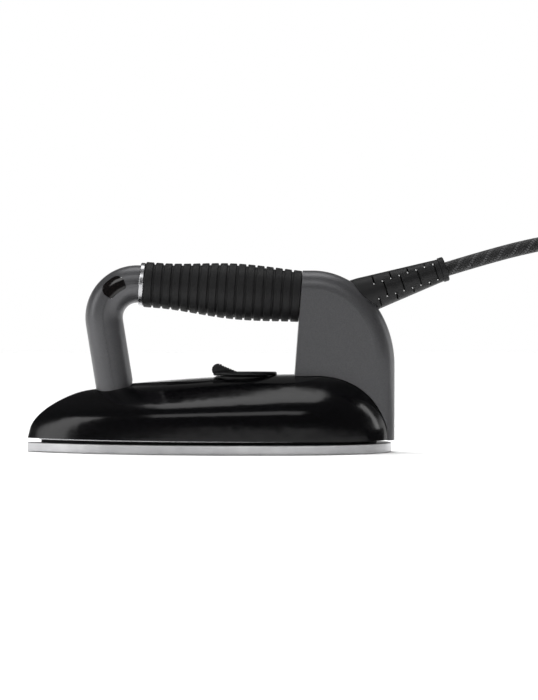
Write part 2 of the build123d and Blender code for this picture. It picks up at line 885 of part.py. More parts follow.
with BuildPart() as housing_whole:
    add(housing_block(0))
    with BuildPart(mode=Mode.PRIVATE) as cavity:
        add(housing_block(housing_wall))
        add(cover_body(-housing_wall - 0.4, 8), mode=Mode.SUBTRACT)
    add(cavity.part, mode=Mode.SUBTRACT)
    # solid collar round the strain relief, bosses for the screws and a saddle for the clamp
    with BuildPart(mode=Mode.PRIVATE) as inside_posts:
        with BuildSketch(boot_plane.offset(clamp_t - clamp_width / 2)):
            with Locations((0, 1 + housing_half_width / 2)):
                Rectangle(2 * clamp_reach, housing_half_width)
        extrude(amount=clamp_width)
        with BuildSketch(boot_plane.offset(boot_flange_t - 4)):
            Circle(boot_root_radius + 2.2)
        extrude(amount=30)
        with BuildSketch(Plane.XZ):
            with Locations(*housing_screw_places):
                Circle(3.9)
        extrude(amount=housing_half_width, both=True)
        add(housing_block(housing_wall / 2), mode=Mode.INTERSECT)
    add(inside_posts.part)
    add(cover_room.part, mode=Mode.SUBTRACT)
    add(turned(boot_plane, boot_outline(0.15)), mode=Mode.SUBTRACT)
    with BuildSketch(boot_plane.offset(-cord_tail_length - 2)):
        Circle(cord_diameter / 2 + 0.05)
    extrude(amount=cord_tail_length + 12, mode=Mode.SUBTRACT)
    with BuildSketch(clamp_plane):
        with Locations((0, clamp_screw_offset), (0, -clamp_screw_offset)):
            Circle(clamp_screw_radius + 0.05)
    extrude(amount=-12, mode=Mode.SUBTRACT)
    # the handle bar, its rear flange and the floor's holes
    with BuildSketch(along_grip(housing_face_s - 3)):
        Circle(core_radius + axis_clearance)
    extrude(amount=core_end_s - housing_face_s + 5, mode=Mode.SUBTRACT)
    with BuildSketch(along_grip(core_end_s - flange_thickness - 0.1)):
        Circle(core_radius + 3.2)
    extrude(amount=6, mode=Mode.SUBTRACT)
    with BuildSketch(Plane.XY.offset(44)):
        with Locations(*[(x, 0) for x in anchor_bolt_x]):
            Circle(bolt_radius + bolt_clearance)
        with Locations((wire_hole_x, 0)):
            Circle(wire_hole_radius)
    extrude(amount=16, mode=Mode.SUBTRACT)
    # counterbored holes from the far side, pilot holes in the near half
    with BuildSketch(Plane.XZ.offset(-housing_half_width - 1)):
        with Locations(*housing_screw_places):
            Circle(3.1)
    extrude(amount=housing_half_width + 1 - screw_head_y, mode=Mode.SUBTRACT)
    with BuildSketch(Plane.XZ.offset(-screw_head_y)):
        with Locations(*housing_screw_places):
            Circle(1.6)
    extrude(amount=screw_head_y + 9, mode=Mode.SUBTRACT)

for facing, name in ((-1, "housing_near"), (1, "housing_far")):
    with BuildPart() as half:
        add(housing_whole.part)
        split(bisect_by=Plane.XZ, keep=Keep.TOP if facing < 0 else Keep.BOTTOM)
    finish(half, name)

with BuildPart() as housing_screws:
    with BuildSketch(Plane.XZ.offset(-screw_head_y)):
        with Locations(*housing_screw_places):
            Circle(1.45)
    extrude(amount=screw_head_y + 8)
    with BuildSketch(Plane.XZ.offset(-screw_head_y)):
        with Locations(*housing_screw_places):
            Circle(2.9)
    extrude(amount=-2.2)
    with BuildSketch(Plane.XZ.offset(-screw_head_y - 2.2)):
        with Locations(*housing_screw_places):
            Rectangle(3.6, 0.7)
            Rectangle(0.7, 3.6)
    extrude(amount=1.2, mode=Mode.SUBTRACT)
finish(housing_screws, "housing_screws")

# ---------------------------------------------------------------- bridge and fixings
with BuildPart() as bridge:
    with BuildSketch(Plane.XY.offset(bridge_z)):
        with Locations(((bridge_front_x + bridge_rear_x) / 2, 0)):
            SlotCenterToCenter(bridge_rear_x - bridge_front_x, 2 * bridge_half_width)
        with Locations((dial_x, 0)):
            Circle(6.5, mode=Mode.SUBTRACT)
        with Locations(*[(x, 0) for x in standoff_x]):
            Circle(standoff_screw_radius + bolt_clearance, mode=Mode.SUBTRACT)
        with Locations((arm_foot_x - 1, 0), *[(x, 0) for x in anchor_bolt_x]):
            Circle(bolt_radius + bolt_clearance, mode=Mode.SUBTRACT)
    extrude(amount=bridge_thickness)
finish(bridge, "bridge")

with BuildPart() as standoffs:
    with BuildSketch(Plane.XY.offset(bracket_base_z)):
        with Locations(*[(x, 0) for x in standoff_x]):
            RegularPolygon(4.0, 6, major_radius=False, rotation=30)
    extrude(amount=bridge_z - bracket_base_z)
    with BuildSketch(Plane.XY.offset(bracket_base_z)):
        with Locations(*[(x, 0) for x in standoff_x]):
            Circle(standoff_screw_radius)
    extrude(amount=-4.5)
    with BuildSketch(Plane.XY.offset(bridge_z)):
        with Locations(*[(x, 0) for x in standoff_x]):
            Circle(standoff_screw_radius + thread_gap)
    extrude(amount=-12, mode=Mode.SUBTRACT)
finish(standoffs, "standoffs")


def cross_head_screws(places, seat_z, shank_radius, shank_length, head_radius, head_height):
    """Identical upright screws with cross slots, heads seated at seat_z."""
    with BuildPart() as screws:
        with BuildSketch(Plane.XY.offset(seat_z)):
            with Locations(*places):
                Circle(shank_radius)
        extrude(amount=-shank_length)
        with BuildSketch(Plane.XY.offset(seat_z)):
            with Locations(*places):
                Circle(head_radius)
        extrude(amount=head_height)
        with BuildSketch(Plane.XY.offset(seat_z + head_height)):
            with Locations(*places):
                Rectangle(1.3 * head_radius, 0.7)
                Rectangle(0.7, 1.3 * head_radius)
        extrude(amount=-head_height / 2, mode=Mode.SUBTRACT)
    return screws


bridge_top_z = bridge_z + bridge_thickness
finish(
    cross_head_screws([(x, 0) for x in standoff_x], bridge_top_z, 2.0, 11, 3.0, 2.2), "bridge_screws"
)

with BuildPart() as leg_bolt:
    with BuildSketch(Plane.XY.offset(bridge_z - bolt_head_height)):
        with Locations((arm_foot_x - 1, 0)):
            RegularPolygon(bolt_head_half_width, 6, major_radius=False, rotation=30)
    extrude(amount=bolt_head_height)
    with BuildSketch(Plane.XY.offset(bridge_z)):
        with Locations((arm_foot_x - 1, 0)):
            Circle(bolt_radius)
    extrude(amount=14)
finish(leg_bolt, "leg_bolt")

deck_at_bolts_z = 51.7
anchor_block_z = deck_at_bolts_z + housing_wall + 0.6
anchor_block_height = 7.0
anchor_block_width = 2 * (housing_half_width - housing_wall - anchor_block_side_gap)
with BuildPart() as anchor_block:
    with BuildSketch(Plane.XY.offset(anchor_block_z)):
        with Locations((sum(anchor_bolt_x) / 2 - 0.2, 0)):
            Rectangle(anchor_block_length, anchor_block_width)
        with Locations(*[(x, 0) for x in anchor_bolt_x]):
            Circle(bolt_radius + thread_gap, mode=Mode.SUBTRACT)
    extrude(amount=anchor_block_height)
finish(anchor_block, "anchor_block")

with BuildPart() as housing_bolts:
    with BuildSketch(Plane.XY.offset(bridge_z - bolt_head_height)):
        with Locations(*[(x, 0) for x in anchor_bolt_x]):
            RegularPolygon(bolt_head_half_width - 0.1, 6, major_radius=False, rotation=30)
    extrude(amount=bolt_head_height)
    with BuildSketch(Plane.XY.offset(bridge_z)):
        with Locations(*[(x, 0) for x in anchor_bolt_x]):
            Circle(bolt_radius)
    extrude(amount=anchor_block_z + 6 - bridge_z)
finish(housing_bolts, "housing_bolts")

with BuildPart() as spacer_tubes:
    with BuildSketch(Plane.XY.offset(bridge_top_z)):
        with Locations(*[(x, 0) for x in anchor_bolt_x]):
            Circle(3.3)
            Circle(bolt_radius + bolt_clearance, mode=Mode.SUBTRACT)
    extrude(amount=20)
    add(cover_body(cover_wall + 0.1, 4), mode=Mode.INTERSECT)
finish(spacer_tubes, "spacer_tubes")

with BuildPart() as earth_tag:
    with BuildSketch(Plane.XY.offset(bracket_base_z)):
        with Locations((earth_x, 0)):
            Circle(3.8)
        with Locations((earth_x + 5, 0)):
            Rectangle(8, 4)
        with Locations((earth_x, 0)):
            Circle(small_screw_radius + 0.2, mode=Mode.SUBTRACT)
    extrude(amount=earth_tag_thickness)
finish(earth_tag, "earth_tag")
finish(
    cross_head_screws(
        [(earth_x, 0)], bracket_base_z + earth_tag_thickness, small_screw_radius, 5, 2.9, 2.0
    ),
    "earth_screw",
)

# ---------------------------------------------------------------- selector
with BuildPart() as selector_seat:
    with BuildSketch(Plane.XY.offset(seat_flange_z)):
        with Locations((dial_x, 0)):
            Circle(seat_radius + 2.0)
    extrude(amount=1.4)
    with BuildSketch(Plane.XY.offset(seat_flange_z)):
        with Locations((dial_x, 0)):
            Circle(seat_radius)
    extrude(amount=seat_top_z - seat_flange_z)
    fillet(selector_seat.edges().group_by(Axis.Z)[-1], 0.5)
    with BuildSketch(Plane.XY.offset(seat_flange_z)):
        with Locations((dial_x, 0)):
            Circle(dial_hub_radius + running_gap)
    extrude(amount=10, mode=Mode.SUBTRACT)
    # hollow underside
    with BuildSketch(Plane.XY.offset(seat_flange_z)):
        with Locations((dial_x, 0)):
            Circle(seat_radius - 2)
            Circle(dial_hub_radius + 2.2, mode=Mode.SUBTRACT)
    extrude(amount=seat_top_z - seat_flange_z - 2, mode=Mode.SUBTRACT)
finish(selector_seat, "selector_seat")

clip_groove_z = seat_flange_z - 0.9
with BuildPart() as dial:
    with BuildSketch(Plane.XY.offset(dial_bottom_z)):
        with Locations((dial_x, 0)):
            Circle(dial_radius)
    extrude(amount=dial_top_z - dial_bottom_z)
    fillet(dial.edges(), dial_rim_round)
    # finger lever: a round head at the rim, sloping back into the disc
    with BuildSketch(Plane.XZ):
        with BuildLine():
            Polyline(
                (lever_head_x, lever_head_z + lever_head_radius),
                (lever_head_x + lever_slope_length, dial_top_z - 0.4),
                (lever_head_x + lever_slope_length, dial_bottom_z + 0.6),
                (lever_head_x, dial_bottom_z + 0.2),
                close=True,
            )
        make_face()
        with Locations((lever_head_x, lever_head_z)):
            Circle(lever_head_radius)
    extrude(amount=lever_width / 2, both=True)
    # fine ridges across the lever's slope
    slope_z = dial_top_z - 0.4 - lever_head_z - lever_head_radius
    for step in range(7):
        share = 0.08 + step * 0.12
        with BuildSketch(Plane.XZ):
            with Locations(
                (lever_head_x + lever_slope_length * share, lever_head_z + lever_head_radius + slope_z * share)
            ):
                Circle(0.35)
        extrude(amount=lever_width / 2 + 1, both=True, mode=Mode.SUBTRACT)
    # hub, with the bore that turns the spindle and lets it rise and fall
    with BuildSketch(Plane.XY.offset(clip_groove_z - 1.5)):
        with Locations((dial_x, 0)):
            Circle(dial_hub_radius)
    extrude(amount=dial_bottom_z + 0.5 - clip_groove_z + 1.5)
    with BuildSketch(Plane.XY.offset(clip_groove_z - 0.4)):
        with Locations((dial_x, 0)):
            Circle(dial_hub_radius + 1)
            Circle(dial_hub_radius - 1, mode=Mode.SUBTRACT)
    extrude(amount=1.0, mode=Mode.SUBTRACT)
    with BuildSketch(Plane.XY.offset(40)):
        with Locations((dial_x, 0)):
            Circle(spindle_radius + running_gap)
    extrude(amount=9.8, mode=Mode.SUBTRACT)
finish(dial, "dial")

with BuildPart() as dial_clip:
    with BuildSketch(Plane.XY.offset(clip_groove_z - 0.3)):
        with Locations((dial_x, 0)):
            Circle(dial_hub_radius + 2.5)
            Circle(dial_hub_radius - 0.9, mode=Mode.SUBTRACT)
        with Locations((dial_x + dial_hub_radius, 0)):
            Rectangle(8, 5, mode=Mode.SUBTRACT)
    extrude(amount=0.8)
finish(dial_clip, "dial_clip")

# ---------------------------------------------------------------- thermostat
bush_radius = 5.0
with BuildPart() as spindle:
    with BuildSketch(Plane.XY.offset(spindle_tip_z)):
        with Locations((dial_x, 0)):
            Circle(spindle_radius)
    extrude(amount=spindle_top_z - spindle_tip_z)
    chamfer(spindle.edges().filter_by(GeomType.CIRCLE), 0.6)
finish(spindle, "spindle")

with BuildPart() as spindle_bush:
    with BuildSketch(Plane.XY.offset(bracket_top_z - 4)):
        with Locations((dial_x, 0)):
            Circle(bush_radius)
    extrude(amount=6.5)
    with BuildSketch(Plane.XY.offset(bracket_top_z)):
        with Locations((dial_x, 0)):
            Circle(bush_radius + 1.0)
    extrude(amount=2.5)
    with BuildSketch(Plane.XY.offset(20)):
        with Locations((dial_x, 0)):
            Circle(spindle_radius + running_gap)
    extrude(amount=14, mode=Mode.SUBTRACT)
finish(spindle_bush, "spindle_bush")

cheek_front_x = 14.0
pin_radius_small = 1.0
with BuildPart() as thermostat_bracket:
    with BuildSketch(Plane.XY.offset(bracket_base_z)):
        with Locations(((bracket_front_x + bracket_rear_x) / 2, 0)):
            Rectangle(bracket_rear_x - bracket_front_x, 2 * bracket_half_width)
        with Locations(*bracket_screw_places):
            Circle(small_screw_radius + 0.2, mode=Mode.SUBTRACT)
    extrude(amount=bracket_thickness)
    for side in (-1, 1):
        with BuildSketch(Plane.XY.offset(bracket_base_z)):
            with Locations(
                ((cheek_front_x + bracket_rear_x) / 2, side * (bracket_half_width - bracket_thickness / 2))
            ):
                Rectangle(bracket_rear_x - cheek_front_x, bracket_thickness)
        extrude(amount=bracket_top_z - bracket_base_z)
    with BuildSketch(Plane.XY.offset(bracket_top_z - bracket_thickness)):
        with Locations(((cheek_front_x + 31) / 2, 0)):
            Rectangle(31 - cheek_front_x, 2 * bracket_half_width)
        with Locations((dial_x, 0)):
            Circle(bush_radius + 0.05, mode=Mode.SUBTRACT)
    extrude(amount=bracket_thickness)
    with BuildSketch(Plane.XZ):
        with Locations((arm_pivot_x, arm_pivot_z)):
            Circle(pin_radius_small + running_gap)
    extrude(amount=bracket_half_width + 1, both=True, mode=Mode.SUBTRACT)
finish(thermostat_bracket, "thermostat_bracket")
finish(
    cross_head_screws(
        bracket_screw_places,
        bracket_base_z + bracket_thickness,
        small_screw_radius,
        6,
        1.9,
        1.2,
    ),
    "bracket_screws",
)

with BuildPart() as arm_pivot_pin:
    with BuildSketch(Plane.XZ):
        with Locations((arm_pivot_x, arm_pivot_z)):
            Circle(pin_radius_small)
    extrude(amount=bracket_half_width + 1.2, both=True)
finish(arm_pivot_pin, "arm_pivot_pin")

contact_arm_half_width = 3.2
with BuildPart() as contact_arm:
    with BuildSketch(Plane.XZ):
        with BuildLine():
            Polyline(
                (contact_x - 2.5, arm_pivot_z - 0.3),
                (arm_pivot_x, arm_pivot_z - 0.3),
                (arm_pivot_x, arm_pivot_z + 0.4),
                (contact_x - 2.5, arm_pivot_z + 0.4),
                close=True,
            )
        make_face()
        with Locations((arm_pivot_x, arm_pivot_z)):
            Circle(2.1)
            Circle(pin_radius_small + running_gap, mode=Mode.SUBTRACT)
    extrude(amount=contact_arm_half_width, both=True)
    with BuildSketch(Plane.XY.offset(arm_pivot_z)):
        with Locations((dial_x, 0)):
            Circle(2.0)
    extrude(amount=spindle_tip_z - 0.4 - arm_pivot_z)
    with BuildSketch(Plane.XY.offset(arm_pivot_z)):
        with Locations((contact_x, 0)):
            Circle(1.6)
    extrude(amount=-1.3)
finish(contact_arm, "contact_arm")

with BuildPart() as contact_block:
    with BuildSketch(Plane.XY.offset(bracket_base_z + bracket_thickness)):
        with Locations((contact_x, 0)):
            Rectangle(7, 12)
    extrude(amount=contact_block_height)
finish(contact_block, "contact_block")

fixed_contact_z = bracket_base_z + bracket_thickness + contact_block_height
with BuildPart() as fixed_contact:
    with BuildSketch(Plane.XY.offset(fixed_contact_z)):
        with Locations((contact_x, -2)):
            Rectangle(4.5, 14)
    extrude(amount=0.5)
    with BuildSketch(Plane.XY.offset(fixed_contact_z)):
        with Locations((contact_x, 0)):
            Circle(1.6)
    extrude(amount=1.5)
finish(fixed_contact, "fixed_contact")

with BuildPart() as bimetal:
    with BuildSketch(Plane.XY.offset(bracket_base_z + bracket_thickness)):
        with Locations((31, 0)):
            Rectangle(4, 8)
    extrude(amount=1.6)
    with BuildSketch(Plane.XY.offset(bracket_base_z + bracket_thickness + 1.6)):
        with Locations((25, 0)):
            Rectangle(16, 8)
    extrude(amount=0.8)
finish(bimetal, "bimetal")

with BuildPart() as push_pin:
    with BuildSketch(Plane.XY.offset(bracket_base_z + bracket_thickness + 2.4)):
        with Locations((19.0, 0)):
            Circle(1.2)
    extrude(amount=3.2)
finish(push_pin, "push_pin")

with BuildPart() as thermal_fuse:
    with BuildSketch(Plane.YZ.offset(fuse_x)):
        with Locations((fuse_y, fuse_z)):
            Circle(fuse_radius)
    extrude(amount=fuse_length)
finish(thermal_fuse, "thermal_fuse")

# ---------------------------------------------------------------- strain relief
boot_slope = (boot_root_radius - boot_tip_radius) / (boot_length - 5.9)
with BuildPart() as strain_relief:
    add(turned(boot_plane, boot_outline(0)))
    for station in range(boot_station_count):
        t = boot_station_first + station * boot_station_pitch
        skin = boot_root_radius - boot_slope * (t - 2)
        across = Plane(
            origin=on_boot(t), x_dir=(math.cos(boot_tilt), 0, math.sin(boot_tilt)), z_dir=(0, -1, 0)
        )
        # two small holes right through, one each side of the cord
        with BuildSketch(across):
            with Locations((0, boot_hole_offset), (0, -boot_hole_offset)):
                Circle(boot_hole_radius)
        extrude(amount=skin + 1, both=True, mode=Mode.SUBTRACT)
        if station % 2:
            # a long slot over each side, between the two holes
            for facing in (-1, 1):
                with BuildSketch(across.offset(facing * (cord_diameter / 2 + 0.6))):
                    Rectangle(boot_slit_width, 2 * boot_hole_offset)
                extrude(amount=facing * skin, mode=Mode.SUBTRACT)
        else:
            # short slots from the holes towards the top and bottom
            length = skin - 1.2 - boot_hole_offset
            for facing in (-1, 1):
                with BuildSketch(across.offset(facing * 1.3)):
                    with Locations(
                        (0, boot_hole_offset + length / 2), (0, -boot_hole_offset - length / 2)
                    ):
                        Rectangle(boot_slit_width, length)
                extrude(amount=facing * skin, mode=Mode.SUBTRACT)
finish(strain_relief, "strain_relief")

# ---------------------------------------------------------------- cord
cord_radius = cord_diameter / 2


def fitted_radii(points):
    """Largest tangent arc at each corner: 0.45 of the shorter run over tan(half the turn)."""
    radii = []
    for before, corner, after in zip(points, points[1:], points[2:]):
        first = Vector(corner) - Vector(before)
        second = Vector(after) - Vector(corner)
        half_turn = math.radians(first.get_angle(second)) / 2
        radii.append(0.45 * min(first.length, second.length) / math.tan(half_turn))
    return radii


def tube_along(points, radius, radii):
    """Round tube through the points: straight runs joined by tangent arcs."""
    with BuildPart() as tube:
        with BuildLine() as route:
            FilletPolyline(*points, radius=radii)
        with BuildSketch(Plane(origin=points[0], z_dir=Vector(*points[1]) - Vector(*points[0]))):
            Circle(radius)
        sweep(path=route.line)
    return tube, sum(edge.length for edge in route.edges())


plug_tilt = math.atan2(plug_head_radius - plug_neck_radius, plug_length)
plug_plane = Plane(
    origin=(plug_x, plug_y, plug_neck_z),
    x_dir=(0, 1, 0),
    z_dir=(math.cos(plug_tilt), 0, math.sin(plug_tilt)),
)


def on_plug(t):
    """Point on the plug's axis, t along it from the cord end."""
    return (plug_x + t * math.cos(plug_tilt), plug_y, plug_neck_z + t * math.sin(plug_tilt))


cord_route = [
    on_boot(0),
    (165, 0, 124),
    (228, 0, 140.3),
    (272, -12, 141),
    (309, -26, 113),
    (325, -32, 75),
    (339, -14, 43),
    (345.7, 20, 24.6),
    (344.9, 48, 24.6),
]
lead_route = [
    (232.3, 32, 5.8),
    (232.3, 8, 5.6),
    (241.5, -14.2, 6.0),
    (258.5, -31.1, 6.2),
    on_plug(-12),
    on_plug(12),
]
cord_run, cord_length = tube_along(cord_route, cord_radius, fitted_radii(cord_route))
lead_run, lead_length = tube_along(lead_route, cord_radius, fitted_radii(lead_route))
for name, points, run, length in (
    ("cord", cord_route, cord_run, cord_length),
    ("lead", lead_route, lead_run, lead_length),
):
    print(
        name,
        "radii",
        [round(radius, 1) for radius in fitted_radii(points)],
        "length",
        round(length, 1),
        "volume over section times length",
        round(run.part.volume / (math.pi * cord_radius**2 * length), 4),
    )
with BuildPart() as cord:
    add(cord_run.part)
    add(lead_run.part)
finish(cord, "cord")

with BuildPart() as cord_tail:
    with BuildSketch(boot_plane.offset(-cord_tail_length)):
        Circle(cord_radius)
    extrude(amount=cord_tail_length)
finish(cord_tail, "cord_tail")

# the wound cord as one solid: two turns wide, two high, and a third turn on the outside
coil_plane = Plane(origin=(coil_x, coil_y, coil_lift), x_dir=(1, 0, 0), z_dir=(0, 0, 1))
coil_inside = coil_inner_turn - cord_radius
coil_outside = coil_inner_turn + 3 * cord_radius
coil_height = 3 * cord_diameter
with BuildPart() as cord_coil:
    add(
        turned(
            coil_plane,
            [
                (coil_inside, 0),
                (coil_outside, 0),
                (coil_outside, coil_height),
                (coil_outside - cord_diameter, coil_height),
                (coil_outside - cord_diameter, 2 * cord_diameter),
                (coil_inside, 2 * cord_diameter),
            ],
        )
    )
    for points in (cord_route, lead_route):
        groove, _ = tube_along(points, cord_radius + 0.05, fitted_radii(points))
        add(groove.part, mode=Mode.SUBTRACT)
finish(cord_coil, "cord_coil")

tie_angle = 150.0
tie_gap = 0.15
tie_plane = Plane(
    origin=(coil_x, coil_y, 0),
    x_dir=(math.cos(math.radians(tie_angle)), math.sin(math.radians(tie_angle)), 0),
    z_dir=(math.sin(math.radians(tie_angle)), -math.cos(math.radians(tie_angle)), 0),
)
tie_low = coil_lift - tie_gap
tie_high = coil_lift + coil_height + tie_gap
with BuildPart() as cord_tie:
    with BuildSketch(tie_plane):
        with BuildLine():
            Polyline(
                (coil_inside - 1 - tie_thickness, tie_low - tie_thickness + 0.05),
                (coil_outside + tie_gap + tie_thickness, tie_low - tie_thickness + 0.05),
                (coil_outside + tie_gap + tie_thickness, tie_high + tie_thickness),
                (coil_outside - cord_diameter - tie_thickness, tie_high + tie_thickness),
                (coil_inside - 1 - tie_thickness, tie_low + 2 * cord_diameter + tie_thickness),
                close=True,
            )
        make_face()
        with BuildLine():
            Polyline(
                (coil_inside - 1, tie_low),
                (coil_outside + tie_gap, tie_low),
                (coil_outside + tie_gap, tie_high),
                (coil_outside - cord_diameter - tie_gap, tie_high),
                (coil_inside - 1, tie_low + 2 * cord_diameter + 2 * tie_gap),
                close=True,
            )
        make_face(mode=Mode.SUBTRACT)
    extrude(amount=tie_width / 2, both=True)
finish(cord_tie, "cord_tie")

# ---------------------------------------------------------------- plug
pin_places = ((-pin_spacing / 2, 0), (pin_spacing / 2, 0))
clip_width = 6.0
clip_depth = 1.4
with BuildPart() as plug_body:
    add(
        turned(
            plug_plane,
            [
                (0, 0),
                (plug_neck_radius, 0),
                (plug_neck_radius + 1.2, 14),
                (plug_neck_radius + 6, 18),
                (plug_head_radius - 3.6, 31),
                (plug_head_radius - 0.8, 35),
                (plug_head_radius, 37),
                (plug_head_radius, plug_length - 1),
                (plug_head_radius - 1, plug_length),
                (0, plug_length),
            ],
        )
    )
    with BuildSketch(plug_plane):
        Circle(cord_radius + 0.05)
    extrude(amount=12.5, mode=Mode.SUBTRACT)
    with BuildSketch(plug_plane.offset(plug_length)):
        with Locations(*pin_places):
            Circle(pin_radius + 0.05)
    extrude(amount=-8, mode=Mode.SUBTRACT)
    with BuildSketch(plug_plane.offset(plug_length)):
        with Locations((0, 8)):
            Circle(2.6)
    extrude(amount=-14, mode=Mode.SUBTRACT)
    # channels for the two earth strips
    with BuildSketch(plug_plane.offset(plug_length)):
        with Locations((0, plug_head_radius), (0, -plug_head_radius)):
            Rectangle(clip_width + 0.2, 2 * clip_depth + 0.2)
    extrude(amount=-12, mode=Mode.SUBTRACT)
finish(plug_body, "plug_body")

with BuildPart() as plug_pins:
    with BuildSketch(plug_plane.offset(plug_length - 8)):
        with Locations(*pin_places):
            Circle(pin_radius)
    extrude(amount=8 + pin_length)
    fillet(plug_pins.edges().sort_by(Axis.X)[-2:], 1.4)
finish(plug_pins, "plug_pins")

with BuildPart() as plug_earth_strips:
    with BuildSketch(plug_plane.offset(plug_length - 11.9)):
        with Locations(
            (0, plug_head_radius - clip_depth + 0.5), (0, -plug_head_radius + clip_depth - 0.5)
        ):
            Rectangle(clip_width, 0.8)
    extrude(amount=11.9)
finish(plug_earth_strips, "plug_earth_strips")

# ---------------------------------------------------------------- cord clamp and wiring
with BuildPart() as cable_clamp:
    with BuildSketch(clamp_plane.offset(1)):
        Rectangle(clamp_width, 2 * clamp_reach)
    extrude(amount=clamp_height - 1)
    with BuildSketch(boot_plane.offset(clamp_t - clamp_width)):
        Circle(cord_radius)
    extrude(amount=2 * clamp_width, mode=Mode.SUBTRACT)
    with BuildSketch(clamp_plane):
        with Locations((0, clamp_screw_offset), (0, -clamp_screw_offset)):
            Circle(clamp_screw_radius + 0.05)
    extrude(amount=9, mode=Mode.SUBTRACT)
finish(cable_clamp, "cable_clamp")

with BuildPart() as clamp_screws:
    with BuildSketch(clamp_plane.offset(clamp_height)):
        with Locations((0, clamp_screw_offset), (0, -clamp_screw_offset)):
            Circle(clamp_screw_radius)
    extrude(amount=-16)
    with BuildSketch(clamp_plane.offset(clamp_height)):
        with Locations((0, clamp_screw_offset), (0, -clamp_screw_offset)):
            Circle(2.3)
    extrude(amount=1.8)
    with BuildSketch(clamp_plane.offset(clamp_height + 1.8)):
        with Locations((0, clamp_screw_offset), (0, -clamp_screw_offset)):
            Rectangle(3.2, 0.6)
            Rectangle(0.6, 3.2)
    extrude(amount=-1, mode=Mode.SUBTRACT)
finish(clamp_screws, "clamp_screws")

terminal_x = 70.5
terminal_length = 20.0
terminal_width = 18.0
terminal_height = 12.0
terminal_y = (-6.0, 0.0, 6.0)
terminal_bottom_z = anchor_block_z + anchor_block_height
terminal_top_z = terminal_bottom_z + terminal_height
terminal_rear_x = terminal_x + terminal_length / 2
core_entry_x = 74.0
terminal_screw_x = 66.5
wire_exit_z = terminal_bottom_z + 4.1
with BuildPart() as terminal_block:
    with BuildSketch(Plane.XY.offset(terminal_bottom_z)):
        with Locations((terminal_x, 0)):
            Rectangle(terminal_length, terminal_width)
    extrude(amount=terminal_height)
    chamfer(terminal_block.edges().filter_by(Axis.Z), 1)
    with BuildSketch(Plane.XY.offset(terminal_top_z)):
        with Locations(*[(terminal_screw_x, y) for y in terminal_y]):
            Circle(2.0)
    extrude(amount=-5.5, mode=Mode.SUBTRACT)
    with BuildSketch(Plane.XY.offset(terminal_top_z)):
        with Locations(*[(terminal_screw_x, y) for y in terminal_y]):
            Circle(1.25)
    extrude(amount=-9, mode=Mode.SUBTRACT)
    with BuildSketch(Plane.XY.offset(terminal_top_z)):
        with Locations(*[(core_entry_x, y) for y in terminal_y]):
            Circle(1.2)
    extrude(amount=-5, mode=Mode.SUBTRACT)
    with BuildSketch(Plane.YZ.offset(terminal_rear_x)):
        with Locations(*[(y, wire_exit_z) for y in terminal_y]):
            Circle(1.2)
    extrude(amount=-5, mode=Mode.SUBTRACT)
finish(terminal_block, "terminal_block")
finish(
    cross_head_screws(
        [(terminal_screw_x, y) for y in terminal_y], terminal_top_z - 5.5, 1.2, 3, 1.8, 1.8
    ),
    "terminal_screws",
)

grommet_z = 54.5
with BuildPart() as wire_grommet:
    with BuildSketch(Plane.XY.offset(42)):
        with Locations((wire_hole_x, 0)):
            Circle(wire_hole_radius - 0.1)
    extrude(amount=grommet_z - 42)
    with BuildSketch(Plane.XY.offset(grommet_z)):
        with Locations((wire_hole_x, 0)):
            Circle(wire_hole_radius + 1.3)
    extrude(amount=1.4)
    with BuildSketch(Plane.XY.offset(41)):
        with Locations((wire_hole_x, 0)):
            Circle(wire_hole_radius - 0.8)
    extrude(amount=18, mode=Mode.SUBTRACT)
finish(wire_grommet, "wire_grommet")

wire_radius = 0.9
thin_wire_radius = 0.7
pin_top_z = element_end_z + element_pin_length
inner_routes = [
    # live, neutral and earth from the terminals down through the grommet
    (
        wire_radius,
        [
            (terminal_rear_x - 5, terminal_y[0], wire_exit_z),
            (86, terminal_y[0], wire_exit_z),
            (88.4, -2, 60),
            (88.4, -2, 35),
            (86, -12, 24),
            (70, -12, 17),
            (contact_x, -12, fixed_contact_z + 0.25),
            (contact_x, -9, fixed_contact_z + 0.25),
        ],
    ),
    (
        wire_radius,
        [
            (terminal_rear_x - 5, terminal_y[2], wire_exit_z),
            (86, terminal_y[2], wire_exit_z),
            (88.4, 2, 60),
            (88.4, 2, 35),
            (84, 16, 36.5),
            (element_end_x, element_leg_y, 37.5),
            (element_end_x, element_leg_y, pin_top_z),
        ],
    ),
    (
        wire_radius,
        [
            (terminal_rear_x - 5, terminal_y[1], wire_exit_z),
            (87, 0, wire_exit_z),
            (90.9, 0, 60),
            (90.9, 0, bracket_base_z + earth_tag_thickness),
        ],
    ),
    # from the thermostat to the fuse and from the fuse to the element
    (
        thin_wire_radius,
        [
            (bracket_rear_x, -8.25, 22),
            (43.5, -8.25, 22),
            (46, -12, 20.5),
            (fuse_x - 3.5, fuse_y, fuse_z),
            (fuse_x, fuse_y, fuse_z),
        ],
    ),
    (
        thin_wire_radius,
        [
            (fuse_x + fuse_length, fuse_y, fuse_z),
            (fuse_x + fuse_length + 4, fuse_y, fuse_z),
            (73, -15.5, 19),
            (76, -15, 30),
            (element_end_x, -20, 37.5),
            (element_end_x, -element_leg_y, 37.5),
            (element_end_x, -element_leg_y, pin_top_z),
        ],
    ),
]
with BuildPart() as inner_wires:
    for radius, points in inner_routes:
        wire, _ = tube_along(points, radius, fitted_radii(points))
        add(wire.part)
finish(inner_wires, "inner_wires")

